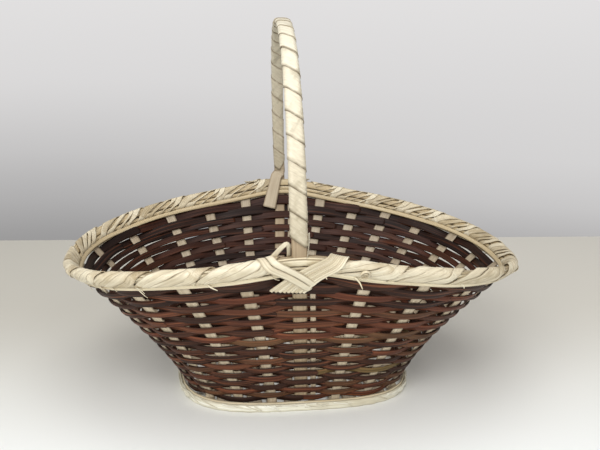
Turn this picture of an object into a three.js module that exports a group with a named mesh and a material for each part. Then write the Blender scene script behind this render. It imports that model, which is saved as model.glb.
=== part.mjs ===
// Oval hand-woven bamboo basket with a fixed arched handle.
//
// Millimetres, +Z up. +X runs along the basket's length and the handle arches
// over the middle in the YZ plane. The origin is at the centre of the footprint,
// on the surface that the basket stands on.
//
// Flat split stakes run across the base and turn up both walls. Dyed weavers go
// round them in separate rings, over one stake and under the next. Two hoops
// bind the foot. Four hoops clamp the stake ends at the rim and a wide lashing
// winds round them. The handle is two bent splints, one on the other, wrapped
// with a flat strip. The outer splint runs down through the weave, and crossed
// strips tie it to the rim.
import * as THREE from "three";

// ---- Driving dimensions -------------------------------------------------

// Plan outlines of the wall's middle surface, at the top of the rim and at the foot.
const RIM = { halfLength: 200, halfWidth: 140, exponent: 2.35 };
const FOOT = { halfLength: 98.5, halfWidth: 80.5, exponent: 3.3 };
const FOOT_TWIST = THREE.MathUtils.degToRad(4);

// Heights. The rim is highest beside the handle and lowest at the two ends.
const WALL_FOOT_Z = 8;
const RIM_END_Z = 118;
const RIM_SIDE_Z = 147;
const RIM_CREST = { rise: 7, reach: 45, fade: 5 };
const RIM_SAG_POWER = 1.7;
const WALL_FLARE_POWER = 1.25;

// Stakes: flat strips with their ends up the wall, counted from the front centre towards +X.
// They stand wider apart at the front, as shares of the way round.
const STAKES = 24;
const STAKE_DRIFT = { front: 0.0111, ends: 0.0175, quarters: -0.0043, leftQuarters: 0.0096 };
const STAKE = { footWidth: 8, rimWidth: 10.2, thickness: 1.2, top: 0.99 };
const CENTRE_STAKE = { fromLeg: 10.4, width: 4.6 };
const BASE_LAYER_Z = { cross: 2.6, long: 4.4, corner: 6.2 };
const CROSS_STAKES_BESIDE = 3;
const LONG_STAKES_BESIDE = 1;
const CORNER_TOE = 42;

// Slats between the cross stakes' feet. Each gap is counted as the stake before it is.
const BASE_SLAT = { width: 8.6, inset: 5, gaps: [-3, -2, -1, 1, 2] };

// Weavers: one closed ring to each row.
const ROWS = 24;
const ROW_SPAN = { low: 0.018, high: 0.87, grading: 0.18 };
const WEAVER = { thickness: 0.9, offset: 1.6, gap: 0.7, stakeMargin: 1 };

// Foot hoops, measured outwards from the wall's middle surface.
const FOOT_HOOP_INNER = { inside: 2.4, outside: 3.9, height: 7.8 };
const FOOT_HOOP_OUTER = { inside: 4.1, outside: 5.9, height: 5.4 };

// Rim hoops, measured from the wall's middle surface and down from the rim's top edge.
const RIM_HOOP = { inside: 1.3, outside: 3.1, upper: [-7.2, -0.3], lower: [-14.8, -7.8] };
const HOOP_SEGMENTS = 4 * STAKES;

// Rim lashing: a strip that winds once round the hoops for each stake. Its widths are measured
// along the rim. The shares of a turn's advance at its eight corners make it lie slantwise
// on both sides, and pass over the rim and through the wall almost straight.
const LASHING = { overWidth: 22, throughWidth: 18, thickness: 0.8, clearance: 0.9, corner: 1.2 };
const LASHING_ADVANCE = [0, 0.52, 0.55, 0.59, 0.62, 0.95, 0.97, 0.985];

// Handle: two splints whose crown is at the top of the basket. They taper towards the back.
const SPLINT = { frontWidth: 11.6, backWidth: 9.8, thickness: 1.5, gap: 0.4, footEnd: 0.01 };
const LEG_X = { frontFoot: -2.4, frontRim: -5.2, crown: -11.5, backRim: -3.5, backFoot: 0 };
const ARCH = { halfSpan: 142, springZ: 162, crownZ: 322.4, exponent: 2.3, steps: 40 };
const INNER_END = { depth: 13, overRim: 1, backOverRim: 3, slack: 0.4 };
const TAIL = { sideways: 7, depth: 24 };
const WRAP = { turns: 24, cover: 0.9, thickness: 0.6, clearance: 0.6, start: 2, end: 4, corner: 0.9 };

// Crossed strips that tie the handle to the rim: from inside the hoops, over their top and down
// across the leg. The narrow strip lies over the wide one by the lift.
const TIE = { thickness: 0.8, clearance: 1.35, tuck: 13, edge: 1.4, over: 1.6, slack: 0.6, lift: 1.7 };
const TIE_CROSSING = { lean: 2, middle: 6, beyond: -12, drop: 34 };
const WIDE_TIE = { width: 13, reach: { front: 24, back: 25 } };
const NARROW_TIE = { width: 11, reach: { front: 24, back: 18 } };

// How finely curves are cut into flat faces.
const WALL_STEPS = 8;
const WALL_STEP_GRADING = 1.5;
const BEND_STEPS = 3;
const OVAL_POINTS = 180;
const LENGTH_DIVISIONS = 1440;
const FRAME_STEP = 1e-3;

const X_AXIS = new THREE.Vector3(1, 0, 0);
const DOWN = new THREE.Vector3(0, 0, -1);

// ---- Materials ----------------------------------------------------------

const wood = (color, roughness) => new THREE.MeshStandardMaterial({ color, roughness, metalness: 0 });
const PALE = wood(0xd9c9a3, 0.6);
const TAN = wood(0xb39a72, 0.6);
const CREAM = wood(0xe8deba, 0.5);
const BROWN = wood(0x5a3a2e, 0.5);

// ---- Wall surface -------------------------------------------------------

// A closed oval that starts at the front centre, runs towards +X and is measured by its length.
function oval({ halfLength, halfWidth, exponent }, twist = 0) {
  const points = [];
  for (let i = 0; i < OVAL_POINTS; i++) {
    const angle = -Math.PI / 2 + (2 * Math.PI * i) / OVAL_POINTS;
    const x = Math.abs(Math.cos(angle) / halfLength) ** exponent;
    const y = Math.abs(Math.sin(angle) / halfWidth) ** exponent;
    const radius = (x + y) ** (-1 / exponent);
    points.push(new THREE.Vector3(radius * Math.cos(angle + twist), radius * Math.sin(angle + twist), 0));
  }
  const curve = new THREE.CatmullRomCurve3(points, true);
  curve.arcLengthDivisions = LENGTH_DIVISIONS;
  return curve;
}

const rimOval = oval(RIM);
const footOval = oval(FOOT, FOOT_TWIST);
const rimLength = rimOval.getLength();
const wholeTurnsRemoved = (u) => ((u % 1) + 1) % 1;

function rimHeight(x) {
  const sag = 1 - Math.min(1, Math.abs(x) / RIM.halfLength) ** RIM_SAG_POWER;
  return RIM_END_Z + (RIM_SIDE_Z - RIM_END_Z) * sag;
}

// The rim's extra height beside the handle, which fades out down the wall.
function crest(x, v) {
  return RIM_CREST.rise * Math.exp(-((x / RIM_CREST.reach) ** 2)) * v ** RIM_CREST.fade;
}

// The wall's middle surface: u is the share of the way round, v runs from foot 0 to rim 1.
function wallPoint(u, v) {
  const low = footOval.getPointAt(wholeTurnsRemoved(u));
  const high = rimOval.getPointAt(wholeTurnsRemoved(u));
  const point = new THREE.Vector3().lerpVectors(low, high, v ** WALL_FLARE_POWER);
  point.z = THREE.MathUtils.lerp(WALL_FOOT_Z, rimHeight(high.x), v) + crest(high.x, v);
  return point;
}

// The surface point with its unit vectors along the wall, up the wall and out of it.
function wallFrame(u, v) {
  const before = wallPoint(u - FRAME_STEP, v);
  const along = wallPoint(u + FRAME_STEP, v).sub(before).normalize();
  const below = wallPoint(u, Math.max(0, v - FRAME_STEP));
  const rise = wallPoint(u, v + FRAME_STEP).sub(below);
  const out = along.clone().cross(rise).normalize();
  const up = out.clone().cross(along);
  return { point: wallPoint(u, v), along, up, out };
}

// A point given in millimetres from a frame's own point.
function offset({ point, along, up, out }, sideways, upward, outward) {
  return point
    .clone()
    .addScaledVector(along, sideways)
    .addScaledVector(up, upward)
    .addScaledVector(out, outward);
}

// ---- Strips -------------------------------------------------------------

// A closed body lofted through four-cornered sections, as a ring or with flat ends. Opposite
// faces are split along the same diagonal, so that a twisted strip keeps its thickness.
function loft(sections, ring = false) {
  const count = sections.length;
  const index = [];
  for (let i = 0; i < (ring ? count : count - 1); i++) {
    for (let k = 0; k < 4; k++) {
      const a = 4 * i + k;
      const b = 4 * i + ((k + 1) % 4);
      const c = 4 * ((i + 1) % count) + ((k + 1) % 4);
      const d = 4 * ((i + 1) % count) + k;
      if (k < 2) {
        index.push(a, b, c, a, c, d);
      } else {
        index.push(a, b, d, b, c, d);
      }
    }
  }
  if (!ring) {
    const end = 4 * (count - 1);
    index.push(0, 3, 2, 0, 2, 1, end, end + 1, end + 2, end, end + 2, end + 3);
  }
  const geometry = new THREE.BufferGeometry().setFromPoints(sections.flat());
  geometry.setIndex(index);
  geometry.computeVertexNormals();
  return geometry;
}

// One section of a strip from the two edge points and the strip's outward vector at each.
function section(left, leftOut, right, rightOut, thickness) {
  const half = thickness / 2;
  return [
    left.clone().addScaledVector(leftOut, -half),
    right.clone().addScaledVector(rightOut, -half),
    right.clone().addScaledVector(rightOut, half),
    left.clone().addScaledVector(leftOut, half),
  ];
}

// A flat strip along a path. Each stop is { point, out, width }.
function strip(stops, thickness, ring = false) {
  const last = stops.length - 1;
  const sections = stops.map(({ point, out, width }, i) => {
    const before = stops[i ? i - 1 : ring ? last : 0].point;
    const after = stops[i < last ? i + 1 : ring ? 0 : last].point;
    const ahead = after.clone().sub(before).normalize();
    const side = out.clone().cross(ahead).normalize();
    const flatOut = ahead.clone().cross(side);
    const left = point.clone().addScaledVector(side, -width / 2);
    const right = point.clone().addScaledVector(side, width / 2);
    return section(left, flatOut, right, flatOut, thickness);
  });
  return loft(sections, ring);
}

// A rounded rectangular loop of eight corners, each with its outward direction and
// its share of the way round.
function rectangleLoop(left, right, bottom, top, chamfer) {
  const corners = [
    [right, bottom + chamfer],
    [right, top - chamfer],
    [right - chamfer, top],
    [left + chamfer, top],
    [left, top - chamfer],
    [left, bottom + chamfer],
    [left + chamfer, bottom],
    [right - chamfer, bottom],
  ].map(([x, y]) => new THREE.Vector2(x, y));
  const edges = corners.map((corner, i) => corners[(i + 1) % 8].clone().sub(corner));
  const length = edges.reduce((sum, edge) => sum + edge.length(), 0);
  let travelled = 0;
  return corners.map((corner, i) => {
    const share = travelled / length;
    travelled += edges[i].length();
    const ahead = edges[i].clone().normalize().add(edges[(i + 7) % 8].clone().normalize());
    return { corner, out: new THREE.Vector2(ahead.y, -ahead.x).normalize(), share };
  });
}

// ---- Stakes and base ----------------------------------------------------

const HALF_TURN = STAKES / 2;
const isCentre = (k) => k % HALF_TURN === 0;

// Where a stake is round the wall. k may lie between two stakes.
function stakeU(k) {
  const angle = (2 * Math.PI * k) / STAKES;
  const quarters = Math.sin(2 * angle) ** 2;
  const drift = STAKE_DRIFT.front * Math.sin(angle) + STAKE_DRIFT.ends * Math.sin(angle) ** 2;
  const quarterDrift = STAKE_DRIFT.quarters + STAKE_DRIFT.leftQuarters * Math.sin(angle);
  return k / STAKES + drift + quarters * quarterDrift;
}

// Where the handle's leg runs down the front wall, stake 0, or the back wall.
function legX(k, v) {
  const [foot, rim] = k === 0 ? [LEG_X.frontFoot, LEG_X.frontRim] : [LEG_X.backFoot, LEG_X.backRim];
  return THREE.MathUtils.lerp(foot, rim, v);
}

// The centre stakes stand beside the handle's legs. Distances along the back wall run towards -X.
function stakeShift(k, v) {
  if (!isCentre(k)) return 0;
  const x = legX(k, v) + CENTRE_STAKE.fromLeg;
  return k === 0 ? x : -x;
}

function stakeWidth(k, v) {
  return isCentre(k) ? CENTRE_STAKE.width : THREE.MathUtils.lerp(STAKE.footWidth, STAKE.rimWidth, v);
}

// The stake that a negative number, or one past the last, counts round to.
const stakeNumber = (k) => (k + STAKES) % STAKES;

function stakeStop(k, v) {
  const frame = wallFrame(stakeU(k), v);
  return { point: offset(frame, stakeShift(k, v), 0, 0), out: frame.out, width: stakeWidth(k, v) };
}

// Heights from the rim down to the foot, closer together where the wall curves most.
function wallSteps() {
  const steps = [];
  for (let i = 0; i <= WALL_STEPS; i++) {
    steps.push((1 - i / WALL_STEPS) ** WALL_STEP_GRADING);
  }
  return steps;
}

// The stops of one stake's wall part, from the rim down to the foot.
function wallStops(k) {
  return wallSteps().map((v) => stakeStop(k, STAKE.top * v));
}

// The turn from the foot of the wall into the base, heading for a point on the base.
function bendStops(foot, target, layerZ) {
  const inward = target.clone().sub(foot.point).setZ(0).normalize();
  const radius = WALL_FOOT_Z - layerZ;
  const stops = [];
  for (let i = 1; i <= BEND_STEPS; i++) {
    const angle = (i / BEND_STEPS) * (Math.PI / 2);
    const point = foot.point.clone().addScaledVector(inward, radius * (1 - Math.cos(angle)));
    point.z = layerZ + radius * (1 - Math.sin(angle));
    const out = inward
      .clone()
      .negate()
      .multiplyScalar(Math.cos(angle))
      .addScaledVector(DOWN, Math.sin(angle));
    stops.push({ point, out, width: foot.width });
  }
  return stops;
}

// A stake that goes down one wall, across the base and up the opposite wall.
function throughStake(from, to, layerZ) {
  const down = wallStops(from);
  const up = wallStops(to);
  const footFrom = down.at(-1);
  const footTo = up.at(-1);
  const turnIn = bendStops(footFrom, footTo.point, layerZ);
  const turnOut = bendStops(footTo, footFrom.point, layerZ);
  return strip([...down, ...turnIn, ...turnOut.reverse(), ...up.reverse()], STAKE.thickness);
}

// A corner stake ends in a toe that lies on the base.
function cornerStake(k) {
  const down = wallStops(k);
  const centre = new THREE.Vector3();
  const turn = bendStops(down.at(-1), centre, BASE_LAYER_Z.corner);
  const last = turn.at(-1);
  const inward = last.point.clone().setZ(0).normalize().negate();
  const toe = { ...last, point: last.point.clone().addScaledVector(inward, CORNER_TOE) };
  return strip([...down, ...turn, toe], STAKE.thickness);
}

// The point on the base halfway between the feet of stake k and the next one.
function footGap(k) {
  const foot = stakeStop(stakeNumber(k), 0).point;
  const next = stakeStop(stakeNumber(k + 1), 0).point;
  return foot.add(next).divideScalar(2).setZ(BASE_LAYER_Z.cross);
}

// A short slat that fills the base between cross stake i and the next one.
function baseSlat(i) {
  const front = footGap(i);
  const back = footGap(HALF_TURN - i - 1);
  const inward = back.clone().sub(front).setLength(BASE_SLAT.inset);
  const ends = [front.add(inward), back.sub(inward)];
  return strip(ends.map((point) => ({ point, out: DOWN, width: BASE_SLAT.width })), STAKE.thickness);
}

// ---- Weavers ------------------------------------------------------------

function rowHeight(row) {
  const t = row / (ROWS - 1);
  return THREE.MathUtils.lerp(ROW_SPAN.low, ROW_SPAN.high, t + ROW_SPAN.grading * t * (t - 1));
}

// How far a row reaches to either side of stake k before it may cross the wall.
function stationReach(k, v) {
  const half = stakeWidth(k, v) / 2 + WEAVER.stakeMargin;
  if (!isCentre(k)) return [-half, half];
  const legEdge = legX(k, v) - SPLINT.frontWidth / 2 - WEAVER.stakeMargin;
  const stakeEdge = legX(k, v) + CENTRE_STAKE.fromLeg + half;
  return k === 0 ? [legEdge, stakeEdge] : [-stakeEdge, -legEdge];
}

function weaver(row) {
  const v = rowHeight(row);
  const lower = Math.max(row - 1, 0);
  const upper = Math.min(row + 1, ROWS - 1);
  const stops = [];
  for (let k = 0; k < STAKES; k++) {
    const u = stakeU(k);
    const frame = wallFrame(u, v);
    const rise = wallPoint(u, rowHeight(upper)).distanceTo(wallPoint(u, rowHeight(lower)));
    const pitch = rise / (upper - lower);
    const side = (row + k) % 2 ? -1 : 1;
    for (const sideways of stationReach(k, v)) {
      const point = offset(frame, sideways, 0, side * WEAVER.offset);
      stops.push({ point, out: frame.out, width: pitch - WEAVER.gap });
    }
  }
  return strip(stops, WEAVER.thickness, true);
}

// ---- Hoops and lashing --------------------------------------------------

// A ring whose section is the same four corners, placed in the frame at each step.
function hoop(cornersAt) {
  const sections = [];
  for (let i = 0; i < HOOP_SEGMENTS; i++) {
    sections.push(cornersAt(i / HOOP_SEGMENTS));
  }
  return loft(sections, true);
}

function footHoop({ inside, outside, height }) {
  return hoop((u) => {
    const { point, along } = wallFrame(u, 0);
    const out = along.clone().cross(new THREE.Vector3(0, 0, 1)).normalize();
    const at = (distance, z) => point.clone().addScaledVector(out, distance).setZ(z);
    return [at(inside, 0), at(inside, height), at(outside, height), at(outside, 0)];
  });
}

function rimHoop(side, [low, high]) {
  const near = side > 0 ? RIM_HOOP.inside : -RIM_HOOP.outside;
  const far = side > 0 ? RIM_HOOP.outside : -RIM_HOOP.inside;
  return hoop((u) => {
    const frame = wallFrame(u, 1);
    return [
      offset(frame, 0, low, near),
      offset(frame, 0, high, near),
      offset(frame, 0, high, far),
      offset(frame, 0, low, far),
    ];
  });
}

// One turn of the lashing: its corners, their shares of the advance and their half widths
// as shares of the rim. Corners 1 to 4 are above the wall, and 6 and 7 under the hoops.
function lashingLoop() {
  const room = LASHING.clearance + LASHING.thickness / 2;
  const reach = RIM_HOOP.outside + room;
  const loop = rectangleLoop(-reach, reach, RIM_HOOP.lower[0] - room, room, LASHING.corner);
  return loop.map(({ corner, out }, i) => {
    const width = i >= 1 && i <= 4 ? LASHING.overWidth : LASHING.throughWidth;
    return { corner, out, share: LASHING_ADVANCE[i], half: width / 2 / rimLength };
  });
}

// A strip that winds round the rim hoops, from over the top of one stake to another's.
function rimLashing(firstStake, lastStake) {
  const loop = lashingLoop();
  const throughShare = (loop[6].share + loop[7].share) / 2;
  const sections = [];
  for (let turn = firstStake; turn <= lastStake; turn++) {
    const from = turn === firstStake ? 2 : 0;
    const to = turn === lastStake ? 2 : loop.length;
    for (const { corner, out, share, half } of loop.slice(from, to)) {
      const u = stakeU(turn + 0.5 + share - throughShare);
      const edges = [u + half, u - half].map((at) => {
        const frame = wallFrame(at, 1);
        const outward = frame.out.clone().multiplyScalar(out.x).addScaledVector(frame.up, out.y);
        return { point: offset(frame, 0, corner.y, corner.x), outward };
      });
      const [left, right] = edges;
      sections.push(section(left.point, left.outward, right.point, right.outward, LASHING.thickness));
    }
  }
  return loft(sections);
}

// ---- Handle -------------------------------------------------------------

// The handle leans a little as it rises from each side of the rim.
function handleX(y, z) {
  const rimTop = rimHeight(0) + crest(0, 1);
  const rise = Math.max(0, (z - rimTop) / (ARCH.crownZ - rimTop));
  return THREE.MathUtils.lerp(y < 0 ? LEG_X.frontRim : LEG_X.backRim, LEG_X.crown, rise);
}

function archPoint(angle, inset = 0) {
  const power = 2 / ARCH.exponent;
  const rise = ARCH.crownZ - ARCH.springZ - inset;
  const y = -Math.sign(Math.cos(angle)) * Math.abs(Math.cos(angle)) ** power * (ARCH.halfSpan - inset);
  const z = ARCH.springZ + Math.sin(angle) ** power * rise;
  return new THREE.Vector3(handleX(y, z), y, z);
}

function archPoints(inset = 0) {
  const points = [];
  for (let i = 0; i <= ARCH.steps; i++) {
    points.push(archPoint(Math.PI * (i / ARCH.steps), inset));
  }
  return points;
}

// The handle's width at a distance from front to back.
function splintWidth(y) {
  const share = THREE.MathUtils.clamp((y + ARCH.halfSpan) / (2 * ARCH.halfSpan), 0, 1);
  return THREE.MathUtils.lerp(SPLINT.frontWidth, SPLINT.backWidth, share);
}

// A splint bent along a path that runs from front to back, flat side out.
function splintStops(points) {
  return points.map((point, i) => {
    const ahead = points[Math.min(i + 1, points.length - 1)].clone().sub(points[Math.max(i - 1, 0)]);
    const out = ahead.cross(X_AXIS).negate().normalize();
    return { point, out, width: splintWidth(point.y) };
  });
}

// The outer splint's leg in the wall beside a centre stake, from the foot to the rim.
function legStops(k) {
  const side = k === 0 ? 1 : -1;
  const heights = wallSteps().reverse().map((v) => THREE.MathUtils.lerp(SPLINT.footEnd, 1, v));
  return heights.map((v) => {
    const frame = wallFrame(stakeU(k), v);
    const point = offset(frame, side * legX(k, v), 0, 0);
    return { point, out: frame.out, width: splintWidth(point.y) };
  });
}

function outerSplint() {
  const stops = [...legStops(0), ...splintStops(archPoints()), ...legStops(HALF_TURN).reverse()];
  return strip(stops, SPLINT.thickness);
}

// The inner splint lies under the outer one and ends inside the rim. Its back end is splayed.
function innerSplint() {
  const pitch = SPLINT.thickness + SPLINT.gap;
  const inside = -(RIM_HOOP.outside + SPLINT.gap + SPLINT.thickness / 2);
  const front = wallFrame(0, 1);
  const back = wallFrame(0.5, 1);
  const end = offset(front, LEG_X.frontRim, -INNER_END.depth, inside);
  const overRim = offset(front, LEG_X.frontRim, INNER_END.overRim, inside + INNER_END.slack);
  const backOverRim = offset(back, -LEG_X.backRim + TAIL.sideways / 3, INNER_END.backOverRim, inside);
  const backEnd = offset(back, -LEG_X.backRim + TAIL.sideways, -TAIL.depth, inside);
  const stops = splintStops([end, overRim, ...archPoints(pitch), backOverRim, backEnd]);
  return strip(stops, SPLINT.thickness);
}

// A strip wound round both splints, its turns side by side with a narrow gap between them.
function handleWrap() {
  const pitch = SPLINT.thickness + SPLINT.gap;
  const curve = new THREE.CatmullRomCurve3(archPoints(pitch / 2));
  curve.arcLengthDivisions = LENGTH_DIVISIONS;
  const length = curve.getLength();
  const room = WRAP.clearance + WRAP.thickness / 2;
  const halfDepth = SPLINT.thickness + SPLINT.gap / 2 + room;
  const loopAt = (y) => {
    const halfWidth = splintWidth(y) / 2 + room;
    return rectangleLoop(-halfWidth, halfWidth, -halfDepth, halfDepth, WRAP.corner);
  };
  const advance = (length - WRAP.start - WRAP.end) / WRAP.turns;
  const half = (WRAP.cover * advance) / 2;
  const at = (distance, corner, out) => {
    const u = THREE.MathUtils.clamp(distance / length, 0, 1);
    const ahead = curve.getTangentAt(u);
    const outward = ahead.clone().cross(X_AXIS).negate().normalize();
    const point = curve.getPointAt(u).addScaledVector(X_AXIS, corner.x).addScaledVector(outward, corner.y);
    return { point, out: X_AXIS.clone().multiplyScalar(out.x).addScaledVector(outward, out.y) };
  };
  const sections = [];
  for (let turn = 0; turn < WRAP.turns; turn++) {
    const y = curve.getPointAt((turn + 0.5) / WRAP.turns).y;
    for (const { corner, out, share } of loopAt(y)) {
      const middle = WRAP.start + half + (turn + share) * (advance - (2 * half) / WRAP.turns);
      const left = at(middle + half, corner, out);
      const right = at(middle - half, corner, out);
      sections.push(section(left.point, left.out, right.point, right.out, WRAP.thickness));
    }
  }
  return loft(sections);
}

// A strip from inside the rim, over its top and slantwise down the outside, beside stake k.
// side is 1 to start on the +u side of the leg and -1 to start on the other.
function handleTie(k, side, reach, width, lift) {
  const inside = -(RIM_HOOP.outside + TIE.clearance);
  const outside = RIM_HOOP.outside + TIE.clearance + TIE.slack + lift;
  const { lean, middle, beyond, drop } = TIE_CROSSING;
  const path = [
    { sideways: reach, upward: -TIE.tuck, outward: inside, faces: [0, -1] },
    { sideways: reach, upward: -TIE.edge, outward: inside, faces: [0, -1] },
    { sideways: reach, upward: TIE.over, outward: inside + TIE.over, faces: [1, -1] },
    { sideways: reach, upward: TIE.over + lift / 2, outward: outside - TIE.edge - lift, faces: [1, 1] },
    { sideways: reach - lean, upward: -TIE.edge, outward: outside, faces: [0, 1] },
    { sideways: middle, upward: -drop / 2, outward: outside, faces: [0, 1] },
    { sideways: beyond, upward: -drop, outward: outside, faces: [0, 1] },
  ];
  const stops = path.map(({ sideways, upward, outward, faces: [upShare, outShare] }) => {
    const frame = wallFrame(stakeU(k) + (side * sideways) / rimLength, 1);
    const out = frame.up.clone().multiplyScalar(upShare).addScaledVector(frame.out, outShare).normalize();
    return { point: offset(frame, 0, upward, outward), out, width };
  });
  return strip(stops, TIE.thickness);
}

// ---- Assembly -----------------------------------------------------------

const basket = new THREE.Group();

function add(name, geometry, material) {
  const mesh = new THREE.Mesh(geometry, material);
  mesh.name = name;
  basket.add(mesh);
}

const twoDigits = (number) => String(number).padStart(2, "0");

// Cross stakes run from front to back and long stakes from end to end.
for (let i = -CROSS_STAKES_BESIDE; i <= CROSS_STAKES_BESIDE; i++) {
  const geometry = throughStake(stakeNumber(i), HALF_TURN - i, BASE_LAYER_Z.cross);
  add(`cross_stake_${i + CROSS_STAKES_BESIDE + 1}`, geometry, PALE);
}
const rightEnd = STAKES / 4;
for (let i = -LONG_STAKES_BESIDE; i <= LONG_STAKES_BESIDE; i++) {
  const geometry = throughStake(rightEnd + i, STAKES - rightEnd - i, BASE_LAYER_Z.long);
  add(`long_stake_${i + LONG_STAKES_BESIDE + 1}`, geometry, PALE);
}
const frontCorner = CROSS_STAKES_BESIDE + 1;
[frontCorner, HALF_TURN - frontCorner, HALF_TURN + frontCorner, STAKES - frontCorner].forEach((k, i) =>
  add(`corner_stake_${i + 1}`, cornerStake(k), PALE),
);
BASE_SLAT.gaps.forEach((gap, i) => add(`base_slat_${i + 1}`, baseSlat(gap), PALE));

for (let row = 0; row < ROWS; row++) {
  add(`weaver_${twoDigits(row + 1)}`, weaver(row), BROWN);
}

add("foot_hoop_inner", footHoop(FOOT_HOOP_INNER), CREAM);
add("foot_hoop_outer", footHoop(FOOT_HOOP_OUTER), CREAM);
add("rim_hoop_outer_upper", rimHoop(1, RIM_HOOP.upper), PALE);
add("rim_hoop_outer_lower", rimHoop(1, RIM_HOOP.lower), PALE);
add("rim_hoop_inner_upper", rimHoop(-1, RIM_HOOP.upper), PALE);
add("rim_hoop_inner_lower", rimHoop(-1, RIM_HOOP.lower), PALE);
add("rim_lashing_right", rimLashing(1, HALF_TURN - 1), CREAM);
add("rim_lashing_left", rimLashing(HALF_TURN + 1, STAKES - 1), CREAM);

add("handle_splint_outer", outerSplint(), TAN);
add("handle_splint_inner", innerSplint(), TAN);
add("handle_wrap", handleWrap(), CREAM);
for (const [end, k] of [["front", 0], ["back", HALF_TURN]]) {
  const wide = handleTie(k, 1, WIDE_TIE.reach[end], WIDE_TIE.width, 0);
  const narrow = handleTie(k, -1, NARROW_TIE.reach[end], NARROW_TIE.width, TIE.lift);
  add(`handle_tie_${end}_wide`, wide, CREAM);
  add(`handle_tie_${end}_narrow`, narrow, CREAM);
}

export default basket;
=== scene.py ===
"""Oval hand-woven bamboo basket with a wrapped arch handle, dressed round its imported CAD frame."""
import math

import bpy
import numpy as np
from mathutils import Matrix, Vector

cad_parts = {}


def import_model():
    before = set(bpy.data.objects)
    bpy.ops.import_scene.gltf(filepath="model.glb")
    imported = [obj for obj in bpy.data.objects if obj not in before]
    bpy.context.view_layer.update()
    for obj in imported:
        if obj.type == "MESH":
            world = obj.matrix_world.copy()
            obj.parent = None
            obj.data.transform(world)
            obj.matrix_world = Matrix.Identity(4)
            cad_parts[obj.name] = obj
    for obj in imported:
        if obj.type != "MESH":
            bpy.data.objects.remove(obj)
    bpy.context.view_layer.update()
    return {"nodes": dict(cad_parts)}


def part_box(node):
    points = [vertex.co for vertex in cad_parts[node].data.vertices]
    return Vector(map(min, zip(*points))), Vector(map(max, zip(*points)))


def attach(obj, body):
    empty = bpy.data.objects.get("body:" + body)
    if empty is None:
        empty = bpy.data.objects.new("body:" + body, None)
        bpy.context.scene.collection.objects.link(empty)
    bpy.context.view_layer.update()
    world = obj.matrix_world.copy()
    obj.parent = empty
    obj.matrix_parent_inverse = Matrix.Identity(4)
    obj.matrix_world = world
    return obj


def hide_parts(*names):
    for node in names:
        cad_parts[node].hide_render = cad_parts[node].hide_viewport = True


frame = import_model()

MM = 0.001
rng = np.random.default_rng(494)


# ---- Dimensions, in metres ----

def half_size(node):
    """Half the length and half the width of a CAD node."""
    low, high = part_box(node)
    return np.array([high[0] - low[0], high[1] - low[1]]) / 2


# The wall's middle surface lies inside the outer hoops by their stand-off and thickness.
RIM_HALF = half_size("rim_hoop_outer_upper") - np.array([1.8, 2.6]) * MM
FOOT_HALF = half_size("foot_hoop_outer") - np.array([6.8, 7.3]) * MM
RIM_EXPONENT = 2.35
FOOT_EXPONENT = 3.3
FOOT_TWIST = math.radians(4)
WALL_FOOT_Z = 8 * MM
RIM_END_Z = 118 * MM
RIM_SIDE_Z = 147 * MM
CREST_RISE, CREST_REACH, CREST_FADE = 7 * MM, 45 * MM, 5
SAG_POWER = 1.7
FLARE_POWER = 1.25

STAKES = 24
HALF_TURN = STAKES // 2
DRIFT_FRONT, DRIFT_ENDS, DRIFT_QUARTERS, DRIFT_LEFT_QUARTERS = 0.0111, 0.0175, -0.0043, 0.0096
STAKE_TOP = 0.99
STAKE_FOOT_WIDTH, STAKE_RIM_WIDTH = 8 * MM, 10.4 * MM
STAKE_THICKNESS = 1.2 * MM
COMPANION_FROM_LEG, COMPANION_WIDTH = 10.4 * MM, 4.6 * MM
CROSS_Z, LONG_Z, CORNER_Z = 2.6 * MM, 4.4 * MM, 6.2 * MM
CORNER_STAKES, CORNER_TOE = (4, 8, 16, 20), 42 * MM
INFILL_WIDTH, SLAT_INSET = 12.5 * MM, 5 * MM
SLAT_GAPS = (-3, -2, -1, 1, 2)

WEAVERS = sorted(name for name in frame["nodes"] if name.startswith("weaver_"))
ROW_LOW, ROW_HIGH, ROW_GRADING = 0.018, 0.87, 0.18
WEAVER_THICKNESS = 0.9 * MM
WEAVER_SWING = 1.9 * MM
WEAVER_FULLNESS = {"foot": 1.2, "rim": 1.0}
WEAVER_END_THINNING = 0.34
WEAVER_TINTS = (0.05, 0.2, 0.32, 0.45, 0.55, 0.62, 0.75, 0.85, 0.97)
WEAVER_TINT_SHARES = (0.08, 0.15, 0.18, 0.16, 0.16, 0.1, 0.08, 0.05, 0.04)
TOP_ROWS, TOP_ROW_LIFT, TOP_ROW_FULLNESS, TOP_ROW_TINT = 2, 0.15, 1.28, 0.45
WEAVER_STEPS = 16 * STAKES
WEAVER_OVERLAP = 1.6 / STAKES
WEAVER_TUCK, WEAVER_TAPER, WEAVER_END_WIDTH = 0.9 * MM, 3 * MM, 0.35
WEAVER_CROWN = 0.25 * MM
STAKE_REACH, LEG_REACH, COMPANION_REACH = 0.32, 0.36, 0.3

FOOT_INNER = {"middle": 3.15 * MM, "thickness": 1.5 * MM, "height": 7.8 * MM}
FOOT_OUTER = {"middle": 5.2 * MM, "thickness": 2.2 * MM, "height": 6.8 * MM}
HOOP_MIDDLE, HOOP_THICKNESS = 2.2 * MM, 1.5 * MM
RIM_BANDS = ((-3.7 * MM, 6.6 * MM), (-9.4 * MM, 3.2 * MM), (-13.4 * MM, 4.4 * MM))

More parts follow.
